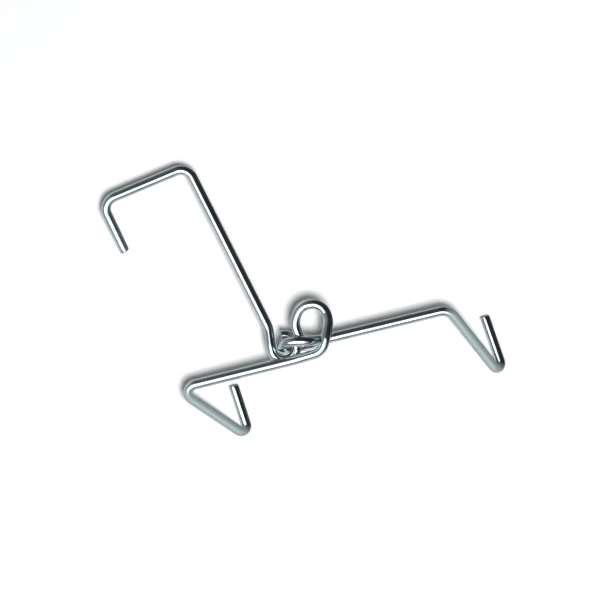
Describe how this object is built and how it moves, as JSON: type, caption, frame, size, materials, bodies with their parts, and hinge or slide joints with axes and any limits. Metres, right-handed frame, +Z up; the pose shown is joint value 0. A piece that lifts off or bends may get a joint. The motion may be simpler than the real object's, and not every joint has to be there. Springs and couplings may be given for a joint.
{
  "type": "wire test tube holder",
  "caption": "Bent-wire test tube holder: a square-cornered hanger and two footed arms, linked loosely by the eyes in their ends.",
  "frame": {"origin": "under the middle of the holder's box, on the surface that it lies on", "axes": "+Z up from that surface, +X along the right arm towards its foot, +Y towards the hanger's square"},
  "size_m": [0.0833, 0.0648, 0.0125],
  "materials": {
    "zinc_plated_wire": "bright blue-white zinc plate on smooth drawn wire"
  },
  "bodies": {
    "right_arm": {"right_arm": "zinc_plated_wire"},
    "hanger": {"hanger": "zinc_plated_wire"},
    "left_arm": {"left_arm": "zinc_plated_wire"}
  },
  "joints": [
    {"name": "hanger_swing", "type": "hinge", "parent": "right_arm", "child": "hanger", "pos_m": [-0.00774, -0.01463, 0.0065], "axis": [0, 0, 1], "range_deg": [-80, 45]},
    {"name": "left_arm_swing", "type": "hinge", "parent": "right_arm", "child": "left_arm", "pos_m": [-0.00549, -0.01428, 0.0088], "axis": [0, 0, 1], "range_deg": [-30, 0]}
  ]
}
